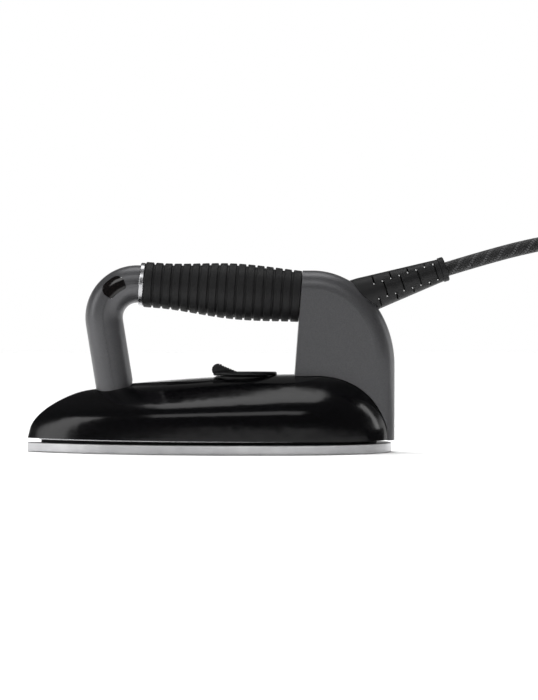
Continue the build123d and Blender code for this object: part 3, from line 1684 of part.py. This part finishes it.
with BuildPart() as cord_cores:
    for side in (-1, 0, 1):
        tail_x, _, tail_z = on_boot(-cord_tail_length)
        turn_x, _, turn_z = on_boot(-cord_tail_length - 5)
        points = [
            (tail_x, 2.4 * side, tail_z),
            (turn_x, 2.4 * side, turn_z),
            (tail_x - 2, 5 * side, tail_z - 10),
            (core_entry_x, 6 * side, tail_z - 14),
            (core_entry_x, 6 * side, terminal_top_z - 5),
        ]
        wire, _ = tube_along(points, wire_radius, fitted_radii(points))
        add(wire.part)
finish(cord_cores, "cord_cores")

with BuildPart() as lamp_leads:
    for side in (-1, 1):
        points = [
            (lamp_x + lamp_radius + 1.45, 1.5 * side, lamp_z),
            (lamp_x + lamp_radius + 5, 1.5 * side, lamp_z),
            (-47, 1.5 * side, 110.4),
            (67, 1.5 * side, 101.7),
            (69.5, 8 * side, 97),
            (69.5, 10 * side, 88),
            (69.5, 8 * side, 80),
            (69.5, 8 * side, terminal_top_z),
        ]
        wire, _ = tube_along(points, 0.6, fitted_radii(points))
        add(wire.part)
finish(lamp_leads, "lamp_leads")
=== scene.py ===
# %% [markdown]
# # A dry clothes iron
# The iron comes in as a fixed frame of separate parts, each already at its real size.
# This lesson gives those parts their finishes and lays the cord, which a modeller
# draws best as a smooth curve. We start by loading the frame.

# %% Load the frame
import json
import math

import bpy
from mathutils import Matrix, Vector


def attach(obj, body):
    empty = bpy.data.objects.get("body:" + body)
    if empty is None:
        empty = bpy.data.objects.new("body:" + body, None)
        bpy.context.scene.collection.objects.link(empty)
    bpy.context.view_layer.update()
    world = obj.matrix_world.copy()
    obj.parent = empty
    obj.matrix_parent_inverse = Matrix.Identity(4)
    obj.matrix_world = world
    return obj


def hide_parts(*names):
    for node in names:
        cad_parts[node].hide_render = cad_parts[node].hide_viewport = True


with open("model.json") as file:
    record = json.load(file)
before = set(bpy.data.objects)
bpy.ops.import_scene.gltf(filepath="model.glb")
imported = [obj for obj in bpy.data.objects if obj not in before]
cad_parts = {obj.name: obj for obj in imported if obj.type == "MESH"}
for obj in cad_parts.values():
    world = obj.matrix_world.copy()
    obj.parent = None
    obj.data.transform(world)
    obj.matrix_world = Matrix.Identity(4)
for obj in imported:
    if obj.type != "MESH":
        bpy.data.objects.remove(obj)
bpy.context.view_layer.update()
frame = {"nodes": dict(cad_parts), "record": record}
nodes = frame["nodes"]

# %% [markdown]
# ## Camera
# A catalogue view of an iron is taken from the side with a long lens, level with the
# handle's lower edge, so the soleplate reads as a straight line. The camera is made
# first, because the cord's coil has to lie just outside what it sees.

# %% Camera
view_height = 0.462
camera_distance = 1.42
camera_data = bpy.data.cameras.new("side_camera")
camera_data.sensor_fit = "VERTICAL"
camera_data.sensor_height = 36
camera_data.lens = 36 * camera_distance / view_height
camera = bpy.data.objects.new("side_camera", camera_data)
camera.location = (0.0384, -camera_distance, 0.067)
camera.rotation_euler = (math.radians(90), 0, 0)
bpy.context.scene.collection.objects.link(camera)
bpy.context.scene.camera = camera
print("lens:", round(camera_data.lens, 1), "mm")

# %% [markdown]
# ## The cord's line
# An iron's cord is a flexible lead with a braided textile sleeve, about 9.4 mm thick
# and two metres long. It leaves the strain relief, rises a little, falls to the table
# and is wound away in a tied coil with its plug beside it. One smooth NURBS curve
# through a few control points bends as a real lead does. The coil's turns are more
# points of the same curve: a point on each corner of a regular polygon that is a
# little larger than the turn, so that the curve's edges touch the true circle.

# %% Route of the cord
cord_radius = 0.0047
cord_exit = (0.0981, 0, 0.1020)
free_points = [
    cord_exit,
    (0.165, 0, 0.124),
    (0.228, 0, 0.1403),
    (0.272, -0.012, 0.141),
    (0.309, -0.026, 0.113),
    (0.325, -0.032, 0.075),
    (0.339, -0.014, 0.043),
    (0.3457, 0.020, 0.0246),
]
lead_points = [
    (0.2323, 0.008, 0.0056),
    (0.2415, -0.0142, 0.0060),
    (0.2585, -0.0311, 0.0062),
    (0.28064, -0.0403, 0.00651),
    (0.30396, -0.0403, 0.01219),
]
coil_centre = (0.289, 0.035)
outer_turn = 0.0567
inner_turn = 0.0473
layer_heights = (0.0058, 0.0152, 0.0246)
points_per_turn = 16
# each turn's radius and height, from the first turn on top to the last half turn below
turns = [
    (outer_turn, layer_heights[2]),
    (outer_turn, layer_heights[1]),
    (inner_turn, layer_heights[1]),
    (inner_turn, layer_heights[0]),
    (outer_turn, layer_heights[0]),
]
turn_step = 2 * math.pi / points_per_turn
whole_turns = len(turns) - 1
ease_from = 0.75
coil_points = []
for number in range(whole_turns * points_per_turn + points_per_turn // 2):
    turn, place = divmod(number, points_per_turn)
    radius, height = turns[turn]
    if turn < whole_turns:
        # the last quarter of each turn eases over to the next one
        past = place + 1 - ease_from * points_per_turn
        ease = max(0, past / ((1 - ease_from) * points_per_turn))
        next_radius, next_height = turns[turn + 1]
        radius += (next_radius - radius) * ease
        height += (next_height - height) * ease
    angle = (number + 0.5) * turn_step
    reach = radius / math.cos(turn_step / 2)
    coil_points.append(
        (
            coil_centre[0] + reach * math.cos(angle),
            coil_centre[1] + reach * math.sin(angle),
            height,
        )
    )
route = free_points + coil_points + lead_points
print("control points:", len(route))


# %% Smooth line through the route
def smooth_line(points):
    """Points along an order-3 NURBS curve that has the given control points."""
    curve = bpy.data.curves.new("line", "CURVE")
    curve.dimensions = "3D"
    curve.resolution_u = 10
    spline = curve.splines.new("NURBS")
    spline.points.add(len(points) - 1)
    for point, place in zip(spline.points, points):
        point.co = (*place, 1)
    spline.order_u = 3
    spline.use_endpoint_u = True
    holder = bpy.data.objects.new("line", curve)
    bpy.context.scene.collection.objects.link(holder)
    bpy.context.view_layer.update()
    mesh = bpy.data.meshes.new_from_object(holder)
    line = [vertex.co.copy() for vertex in mesh.vertices]
    bpy.data.objects.remove(holder)
    bpy.data.curves.remove(curve)
    bpy.data.meshes.remove(mesh)
    return line


cord_line = smooth_line(route)
cord_length = sum((b - a).length for a, b in zip(cord_line, cord_line[1:]))
print("cord length:", round(cord_length, 3), "m,", len(cord_line), "points")


# %% [markdown]
# ## The cord's skin
# A tube swept along the line gets texture coordinates in real millimetres: u runs
# along the cord and v round it. A woven pattern can then be drawn at its true size
# and never stretches in the bends.

# %% Tube along a line
def tube(name, line, radius, sides):
    """Closed round tube along a line, with u in metres along it and v in turns round it."""
    vertices = []
    faces = []
    along = 0.0
    stations = []
    up = Vector((0, 1, 0))
    for index, place in enumerate(line):
        ahead = line[min(index + 1, len(line) - 1)]
        behind = line[max(index - 1, 0)]
        heading = (ahead - behind).normalized()
        side = up.cross(heading).normalized()
        up = heading.cross(side).normalized()
        if index:
            along += (place - line[index - 1]).length
        stations.append(along)
        for corner in range(sides):
            angle = 2 * math.pi * corner / sides
            vertices.append(place + radius * (math.cos(angle) * side + math.sin(angle) * up))
    for index in range(len(line) - 1):
        for corner in range(sides):
            near = index * sides + corner
            far = index * sides + (corner + 1) % sides
            faces.append((near, far, far + sides, near + sides))
    faces.append(tuple(reversed(range(sides))))
    faces.append(tuple(range((len(line) - 1) * sides, len(line) * sides)))
    mesh = bpy.data.meshes.new(name)
    mesh.from_pydata(vertices, [], faces)
    layer = mesh.uv_layers.new(name="along_round")
    for polygon in mesh.polygons:
        for loop in polygon.loop_indices:
            vertex = mesh.loops[loop].vertex_index
            station, corner = divmod(vertex, sides)
            share = corner / sides
            # the last strip closes the round, so its far edge is one whole turn
            corners = [number % sides for number in polygon.vertices]
            if corner == 0 and len(corners) == 4 and sides - 1 in corners:
                share = 1.0
            layer.data[loop].uv = (stations[station], share)
        polygon.use_smooth = True
    piece = bpy.data.objects.new(name, mesh)
    bpy.context.scene.collection.objects.link(piece)
    return piece


cord_sides = 20
cord = tube("braided_cord", cord_line, cord_radius, cord_sides)
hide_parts("cord", "cord_coil")
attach(cord, "body")
print("cord vertices:", len(cord.data.vertices))


# %% [markdown]
# ## Tools for the finishes
# Each finish is a small tree of shader nodes. One function turns the hex colours of a
# paint chart into the linear values a shader needs, and one adds a node with its
# settings and its links. Two more start a material and end it with a bump.

# %% Colour and node helpers
def linear(colour):
    """Linear RGBA of an sRGB hex colour."""
    channels = []
    for place in (1, 3, 5):
        value = int(colour[place : place + 2], 16) / 255
        channels.append(value / 12.92 if value <= 0.04045 else ((value + 0.055) / 1.055) ** 2.4)
    return (*channels, 1)


def node(tree, kind, links=None, inputs=None, **settings):
    """Adds a node: settings are its own options, inputs its values, links what feeds it."""
    made = tree.nodes.new("ShaderNode" + kind)
    for key, value in settings.items():
        setattr(made, key, value)
    for key, value in (inputs or {}).items():
        made.inputs[key].default_value = value
    for key, source in (links or {}).items():
        tree.links.new(source, made.inputs[key])
    return made


def start(name, colour, **values):
    """New material with its colour and the shader's plain values set."""
    material = bpy.data.materials.new(name)
    material.use_nodes = True
    material.diffuse_color = linear(colour)
    shader = material.node_tree.nodes["Principled BSDF"]
    shader.inputs["Base Color"].default_value = linear(colour)
    for key, value in values.items():
        shader.inputs[key.replace("_", " ")].default_value = value
    return material, material.node_tree, shader


def place(tree, scale):
    """Object coordinates times a scale, which is one over the pattern's size in metres."""
    where = node(tree, "TexCoord")
    return node(
        tree, "Mapping", {"Vector": where.outputs["Object"]}, {"Scale": scale}
    ).outputs["Vector"]


def noise(tree, vector, scale, detail=2.0, roughness=0.5):
    """Noise of the given scale on a vector, as a value from 0 to 1."""
    return node(
        tree,
        "TexNoise",
        {"Vector": vector},
        {"Scale": scale, "Detail": detail, "Roughness": roughness},
    ).outputs["Fac"]


def ramp(tree, value, low, high, to_low=0.0, to_high=1.0):
    """A value from low..high taken to to_low..to_high."""
    return node(
        tree,
        "MapRange",
        {"Value": value},
        {"From Min": low, "From Max": high, "To Min": to_low, "To Max": to_high},
    ).outputs["Result"]


def blend_colours(tree, share, first, second):
    """Mixes two hex colours by a value."""
    return node(
        tree,
        "Mix",
        {"Factor": share},
        {6: linear(first), 7: linear(second)},
        data_type="RGBA",
    ).outputs[2]


def bump(tree, shader, height, depth, strength=1.0):
    """Feeds a height, in metres of depth, to the shader's normal."""
    raised = node(tree, "Bump", {"Height": height}, {"Distance": depth, "Strength": strength})
    tree.links.new(raised.outputs["Normal"], shader.inputs["Normal"])


millimetre = 1000.0
finishes = {}

# %% [markdown]
# ## Braided cotton and viscose
# An iron's cord wears a textile braid, so that it stays cool and doesn't kink. Dark
# yarn is plaited with a few lighter ends, which show as short grey flecks in slanting
# rows. Two sets of slanting waves over the tube's own coordinates draw the yarns, and
# every fourth yarn of one set is picked out in grey.

# %% Braid
cord_turn_length = 2 * math.pi * cord_radius


def braid(name):
    """Plaited yarn on a tube that has its coordinates along and round."""
    material, tree, shader = start(name, "#1B1B1C", Roughness=0.85, IOR=1.5)
    yarns = 12
    pitch = cord_turn_length / yarns
    where = node(tree, "UVMap", uv_map="along_round").outputs["UV"]
    split = node(tree, "SeparateXYZ", {"Vector": where})
    across = node(
        tree, "Math", {0: split.outputs["Y"]}, {1: float(yarns)}, operation="MULTIPLY"
    ).outputs[0]
    along = node(
        tree, "Math", {0: split.outputs["X"]}, {1: 1 / pitch}, operation="MULTIPLY"
    ).outputs[0]
    right = node(tree, "Math", {0: across, 1: along}, operation="ADD").outputs[0]
    left = node(tree, "Math", {0: across, 1: along}, operation="SUBTRACT").outputs[0]
    heights = []
    for strand in (right, left):
        swing = node(tree, "Math", {0: strand}, {1: math.pi}, operation="MULTIPLY").outputs[0]
        wave = node(tree, "Math", {0: swing}, operation="SINE").outputs[0]
        heights.append(node(tree, "Math", {0: wave}, operation="ABSOLUTE").outputs[0])
    over = node(tree, "Math", {0: heights[0], 1: heights[1]}, operation="MAXIMUM").outputs[0]
    # every fourth yarn of one set is grey where it lies on top
    grey_share = 1 / 4
    fourth = node(tree, "Math", {0: right}, {1: grey_share}, operation="MULTIPLY").outputs[0]
    part = node(tree, "Math", {0: fourth}, operation="FRACT").outputs[0]
    picked = node(tree, "Math", {0: part}, {1: grey_share}, operation="LESS_THAN").outputs[0]
    on_top = node(
        tree, "Math", {0: heights[1]}, {1: 0.75}, operation="LESS_THAN"
    ).outputs[0]
    grey = node(tree, "Math", {0: picked, 1: on_top}, operation="MULTIPLY").outputs[0]
    fuzz = noise(tree, place(tree, (1, 1, 1)), 4 * millimetre, 3.0)
    loose = ramp(tree, fuzz, 0.3, 0.7, 0.35, 1.0)
    shown = node(tree, "Math", {0: grey, 1: loose}, operation="MULTIPLY").outputs[0]
    colour = blend_colours(tree, shown, "#0D0D0E", "#5A5A5C")
    tree.links.new(colour, shader.inputs["Base Color"])
    shader.inputs["Sheen Weight"].default_value = 0.25
    shader.inputs["Sheen Roughness"].default_value = 0.5
    both = node(tree, "Math", {0: over, 1: fuzz}, operation="ADD").outputs[0]
    bump(tree, shader, both, 0.0005)
    return material


finishes["cord_braid"] = braid("braided_textile_black_and_grey")
cord.data.materials.append(finishes["cord_braid"])
print("braid ready")

# %% [markdown]
# ## Brushed aluminium
# The soleplate is a die casting whose edge is belt-ground, which leaves fine
# scratches along its length. They are drawn as noise stretched along x, in the
# roughness and the bump. A slow second noise stands for uneven oxide and handling.


# %% Aluminium finishes
def brushed_aluminium(name):
    """Belt-ground casting, scratches along x about 0.1 mm apart."""
    material, tree, shader = start(name, "#C2C2C3", Metallic=1.0, Roughness=0.34)
    scratches = noise(tree, place(tree, (0.04, 1, 1)), 9 * millimetre, 4.0, 0.7)
    patches = noise(tree, place(tree, (1, 1, 1)), 0.05 * millimetre, 3.0)
    rough = ramp(tree, scratches, 0.25, 0.75, 0.24, 0.46)
    tree.links.new(rough, shader.inputs["Roughness"])
    tone = blend_colours(tree, ramp(tree, patches, 0.3, 0.7), "#B4B4B6", "#CBCBCC")
    tree.links.new(tone, shader.inputs["Base Color"])
    bump(tree, shader, scratches, 0.00004)
    return material


def polished_aluminium(name):
    """Lathe-turned and buffed ring, fine turning lines and a few handling marks."""
    material, tree, shader = start(name, "#B4B4B6", Metallic=1.0, Roughness=0.26)
    lines = noise(tree, place(tree, (1, 0.1, 0.1)), 8 * millimetre, 3.0)
    marks = noise(tree, place(tree, (1, 1, 1)), 0.4 * millimetre, 4.0)
    tree.links.new(ramp(tree, marks, 0.3, 0.75, 0.22, 0.34), shader.inputs["Roughness"])
    bump(tree, shader, lines, 0.00002)
    return material


def cast_aluminium(name):
    """As-cast surface with the grain of the mould."""
    material, tree, shader = start(name, "#9FA0A1", Metallic=1.0, Roughness=0.5)
    grain = noise(tree, place(tree, (1, 1, 1)), 2.5 * millimetre, 4.0)
    tree.links.new(ramp(tree, grain, 0.3, 0.7, 0.42, 0.62), shader.inputs["Roughness"])
    bump(tree, shader, grain, 0.00012)
    return material


finishes["aluminium_sole"] = brushed_aluminium("belt_ground_aluminium")
finishes["aluminium_polished"] = polished_aluminium("polished_aluminium")
finishes["foil_aluminium"] = polished_aluminium("bright_aluminium_sheet")
finishes["aluminium_cast"] = cast_aluminium("as_cast_aluminium")
print("metals:", len(finishes) - 1)

# %% [markdown]
# ## Moulded plastics
# The cover is phenolic resin pressed in a polished mould: nearly a black mirror, with
# a faint waviness where it cooled. The ring under it is glass-filled and comes out
# matte. The dial is ABS from a mould with a light spark texture.


# %% Plastics
def gloss_phenolic(name):
    """Pressed resin with a mirror skin, slightly wavy, with fine wiping marks."""
    material, tree, shader = start(name, "#060607", Roughness=0.2, IOR=1.4)
    waves = noise(tree, place(tree, (1, 1, 1)), 0.09 * millimetre, 1.0)
    wipes = noise(tree, place(tree, (0.3, 1, 1)), 0.6 * millimetre, 4.0, 0.6)
    tree.links.new(ramp(tree, wipes, 0.3, 0.75, 0.12, 0.19), shader.inputs["Roughness"])
    shader.inputs["Specular IOR Level"].default_value = 0.3
    tone = blend_colours(tree, ramp(tree, wipes, 0.35, 0.7), "#040405", "#08080A")
    tree.links.new(tone, shader.inputs["Base Color"])
    bump(tree, shader, waves, 0.0003, 0.35)
    return material


def moulded(name, dark, light, roughness, grain_mm, depth, spread=0.08, ior=1.5):
    """Moulded plastic or rubber with a grain of the given size in millimetres."""
    material, tree, shader = start(name, dark, Roughness=roughness, IOR=ior)
    shader.inputs["Specular IOR Level"].default_value = 0.3
    grain = noise(tree, place(tree, (1, 1, 1)), millimetre / grain_mm, 3.0, 0.6)
    patches = noise(tree, place(tree, (1, 1, 1)), 0.08 * millimetre, 3.0)
    tree.links.new(
        ramp(tree, patches, 0.3, 0.7, roughness - spread, roughness + spread),
        shader.inputs["Roughness"],
    )
    both = node(tree, "Math", {0: grain, 1: patches}, operation="MULTIPLY").outputs[0]
    tone = blend_colours(tree, ramp(tree, both, 0.1, 0.45), dark, light)
    tree.links.new(tone, shader.inputs["Base Color"])
    bump(tree, shader, grain, depth)
    return material


finishes["black_gloss"] = gloss_phenolic("polished_phenolic_black")
finishes["black_matte"] = moulded(
    "glass_filled_nylon_black", "#0E0E0F", "#1A1A1B", 0.62, 0.5, 0.00008
)
finishes["black_satin"] = moulded(
    "spark_textured_abs_black", "#0D0D0E", "#171718", 0.4, 0.35, 0.00005
)
finishes["grip_rubber"] = moulded(
    "moulded_rubber_black", "#080809", "#111112", 0.58, 0.45, 0.00014
)
finishes["boot_rubber"] = moulded(
    "soft_pvc_black", "#0A0A0B", "#121213", 0.5, 0.6, 0.00006
)
finishes["wire_cover"] = moulded(
    "silicone_wire_cover_brown", "#5A4632", "#6B543D", 0.5, 0.5, 0.00005
)
finishes["grey_nylon"] = moulded(
    "natural_nylon", "#C9C7BE", "#D8D6CE", 0.5, 0.6, 0.00005
)
print("plastics ready")

# %% [markdown]
# ## Metallic paint
# The tube of the handle and the rear housing are moulded and then sprayed with a dark
# grey metallic paint under a satin lacquer. Aluminium flakes in the paint catch the
# light at different angles, so the base gets a fine cell pattern in tone and
# roughness, and the lacquer is the shader's coat.


# %% Paint
def metallic_paint(name):
    """Grey flake paint under satin lacquer, flakes drawn 0.35 mm wide so that they show."""
    material, tree, shader = start(
        name, "#505053", Metallic=0.6, Roughness=0.42, IOR=1.5, Coat_Weight=0.25
    )
    shader.inputs["Coat Roughness"].default_value = 0.3
    cells = node(
        tree,
        "TexVoronoi",
        {"Vector": place(tree, (1, 1, 1))},
        {"Scale": millimetre / 0.35},
    ).outputs["Color"]
    flake = node(tree, "SeparateColor", {"Color": cells}).outputs["Red"]
    tone = blend_colours(tree, ramp(tree, flake, 0.0, 1.0), "#4C4C4E", "#565658")
    tree.links.new(tone, shader.inputs["Base Color"])
    tree.links.new(ramp(tree, flake, 0.0, 1.0, 0.39, 0.45), shader.inputs["Roughness"])
    peel = noise(tree, place(tree, (1, 1, 1)), 0.5 * millimetre, 2.0)
    bump(tree, shader, peel, 0.00005)
    return material


finishes["grey_paint"] = metallic_paint("grey_metallic_paint")
print("paint ready")

# %% [markdown]
# ## Glass, lens, steel, brass and ceramic
# The window of the pilot lamp is smoked acrylic, polished and nearly black.
# Small hardware is zinc-plated steel and turned brass, and the insulators are fired
# steatite with a dry surface.


# %% Lens and hardware
def clear_tinted(name, colour, roughness, ior, transmission):
    """Transparent plastic or glass with faint surface scratches."""
    material, tree, shader = start(
        name, colour, Roughness=roughness, IOR=ior, Transmission_Weight=transmission
    )
    marks = noise(tree, place(tree, (1, 0.2, 1)), 1.2 * millimetre, 4.0)
    tree.links.new(
        ramp(tree, marks, 0.35, 0.75, roughness, roughness + 0.06), shader.inputs["Roughness"]
    )
    return material


def plated(name, dark, light, roughness):
    """Bright metal with a fine all-over grain and soft patches."""
    material, tree, shader = start(name, light, Metallic=1.0, Roughness=roughness)
    grain = noise(tree, place(tree, (1, 1, 1)), 3 * millimetre, 3.0)
    patches = noise(tree, place(tree, (1, 1, 1)), 0.2 * millimetre, 3.0)
    tree.links.new(
        blend_colours(tree, ramp(tree, patches, 0.3, 0.7), dark, light),
        shader.inputs["Base Color"],
    )
    tree.links.new(
        ramp(tree, grain, 0.3, 0.7, roughness - 0.06, roughness + 0.08),
        shader.inputs["Roughness"],
    )
    bump(tree, shader, grain, 0.00002)
    return material


finishes["smoked_lens"] = clear_tinted("smoked_acrylic", "#0C0808", 0.08, 1.49, 0.25)
finishes["lamp_glass"] = clear_tinted("neon_lamp_glass", "#E8B7A0", 0.03, 1.5, 0.85)
finishes["steel"] = plated("zinc_plated_steel", "#A5A7A8", "#BFC1C2", 0.3)
finishes["steel_sheath"] = plated("heat_tinted_steel", "#6E6A66", "#8B8782", 0.45)
finishes["brass"] = plated("turned_brass", "#C9A24E", "#DDBB6A", 0.26)
finishes["ceramic_white"] = moulded(
    "fired_steatite", "#D9D4C6", "#E6E2D6", 0.7, 0.7, 0.00008
)
print("finishes:", len(finishes))

# %% [markdown]
# ## Finishes on the parts
# The frame's record says which material slot each part belongs to. One loop gives
# every part the finish made for its slot.

# %% Give every part its finish
for part in frame["record"]["subparts"]:
    piece = nodes[part["node"]]
    piece.data.materials.clear()
    piece.data.materials.append(finishes[part["material_slot"]])
print("parts finished:", len(nodes))

# %% [markdown]
# ## The cord's hidden end
# The short tail of cord inside the housing has no coordinates along and round it, so
# it wears a plain dry black with a coarse grain, which is close enough for a part
# that only a repairer sees.

# %% Tail
nodes["cord_tail"].data.materials[0] = moulded(
    "cord_sleeve_inside", "#161617", "#2A2A2B", 0.85, 1.2, 0.0002
)

# %% [markdown]
# ## Studio
# A wide pale floor runs back to a horizon of the same brightness, so that hardly
# any line shows between them. Soft lights stand over the front, above and at both
# ends, and draw the long highlights that tell the eye how the gloss parts turn.
# A broad sun from above lights the floor, without a reflection of its own.


# %% Floor
def paper_floor(half_size):
    """Wide matt floor that runs to the horizon."""
    corners = [(-1, -1), (1, -1), (1, 1), (-1, 1)]
    mesh = bpy.data.meshes.new("paper_floor")
    mesh.from_pydata([(half_size * x, half_size * y, 0) for x, y in corners], [], [(0, 1, 2, 3)])
    floor = bpy.data.objects.new("paper_floor", mesh)
    bpy.context.scene.collection.objects.link(floor)
    material, tree, shader = start("matt_white_paper", "#FAFAFA", Roughness=0.9)
    fibres = noise(tree, place(tree, (1, 1, 1)), 0.6 * millimetre, 4.0)
    bump(tree, shader, fibres, 0.00005)
    mesh.materials.append(material)


floor_half_size = 60.0
paper_floor(floor_half_size)
print("floor:", 2 * floor_half_size, "m wide")


# %% Lights
def soft_light(name, position, target, size, power):
    """Rectangular soft light at a position, facing a target point."""
    data = bpy.data.lights.new(name, "AREA")
    data.shape = "RECTANGLE"
    data.size, data.size_y = size
    data.energy = power
    lamp = bpy.data.objects.new(name, data)
    lamp.location = position
    direction = Vector(target) - Vector(position)
    lamp.rotation_euler = direction.to_track_quat("-Z", "Y").to_euler()
    bpy.context.scene.collection.objects.link(lamp)


middle = (0.0, 0.0, 0.06)
soft_light("front_top", (-0.12, -0.75, 0.85), middle, (1.1, 0.3), 3.0)
soft_light("left_end", (-1.2, -0.3, 0.5), middle, (0.35, 0.8), 3.6)
soft_light("above", (0.0, 0.25, 1.2), middle, (0.9, 0.5), 4.0)
soft_light("right_strip", (1.3, 0.42, 0.5), middle, (0.22, 1.0), 2.2)
sun_data = bpy.data.lights.new("high_back_sun", "SUN")
sun_data.energy = 3.4
sun_data.angle = math.radians(35)
sun = bpy.data.objects.new("high_back_sun", sun_data)
sun.rotation_euler = (math.radians(-17), 0, 0)
sun.visible_glossy = False
bpy.context.scene.collection.objects.link(sun)

# pale along the horizon behind the iron, dark above and in front of it
world = bpy.data.worlds.new("studio")
world.use_nodes = True
sky = world.node_tree
direction = node(
    sky, "SeparateXYZ", {"Vector": node(sky, "TexCoord").outputs["Generated"]}
)
glow_top = (0.17, 0.3)
glow_behind = (-0.1, 0.5)
dim, bright = 0.1, 1.0
low = ramp(sky, direction.outputs["Z"], *glow_top, 1.0, 0.0)
behind = ramp(sky, direction.outputs["Y"], *glow_behind)
both = node(sky, "Math", {0: low, 1: behind}, operation="MULTIPLY").outputs[0]
glow = ramp(sky, both, 0, 1, dim, bright)
sky.links.new(glow, sky.nodes["Background"].inputs["Strength"])
sky.nodes["Background"].inputs["Color"].default_value = linear("#FFFFFF")
bpy.context.scene.world = world
bpy.context.scene.view_settings.view_transform = "Standard"
print("lights:", len(bpy.data.lights))
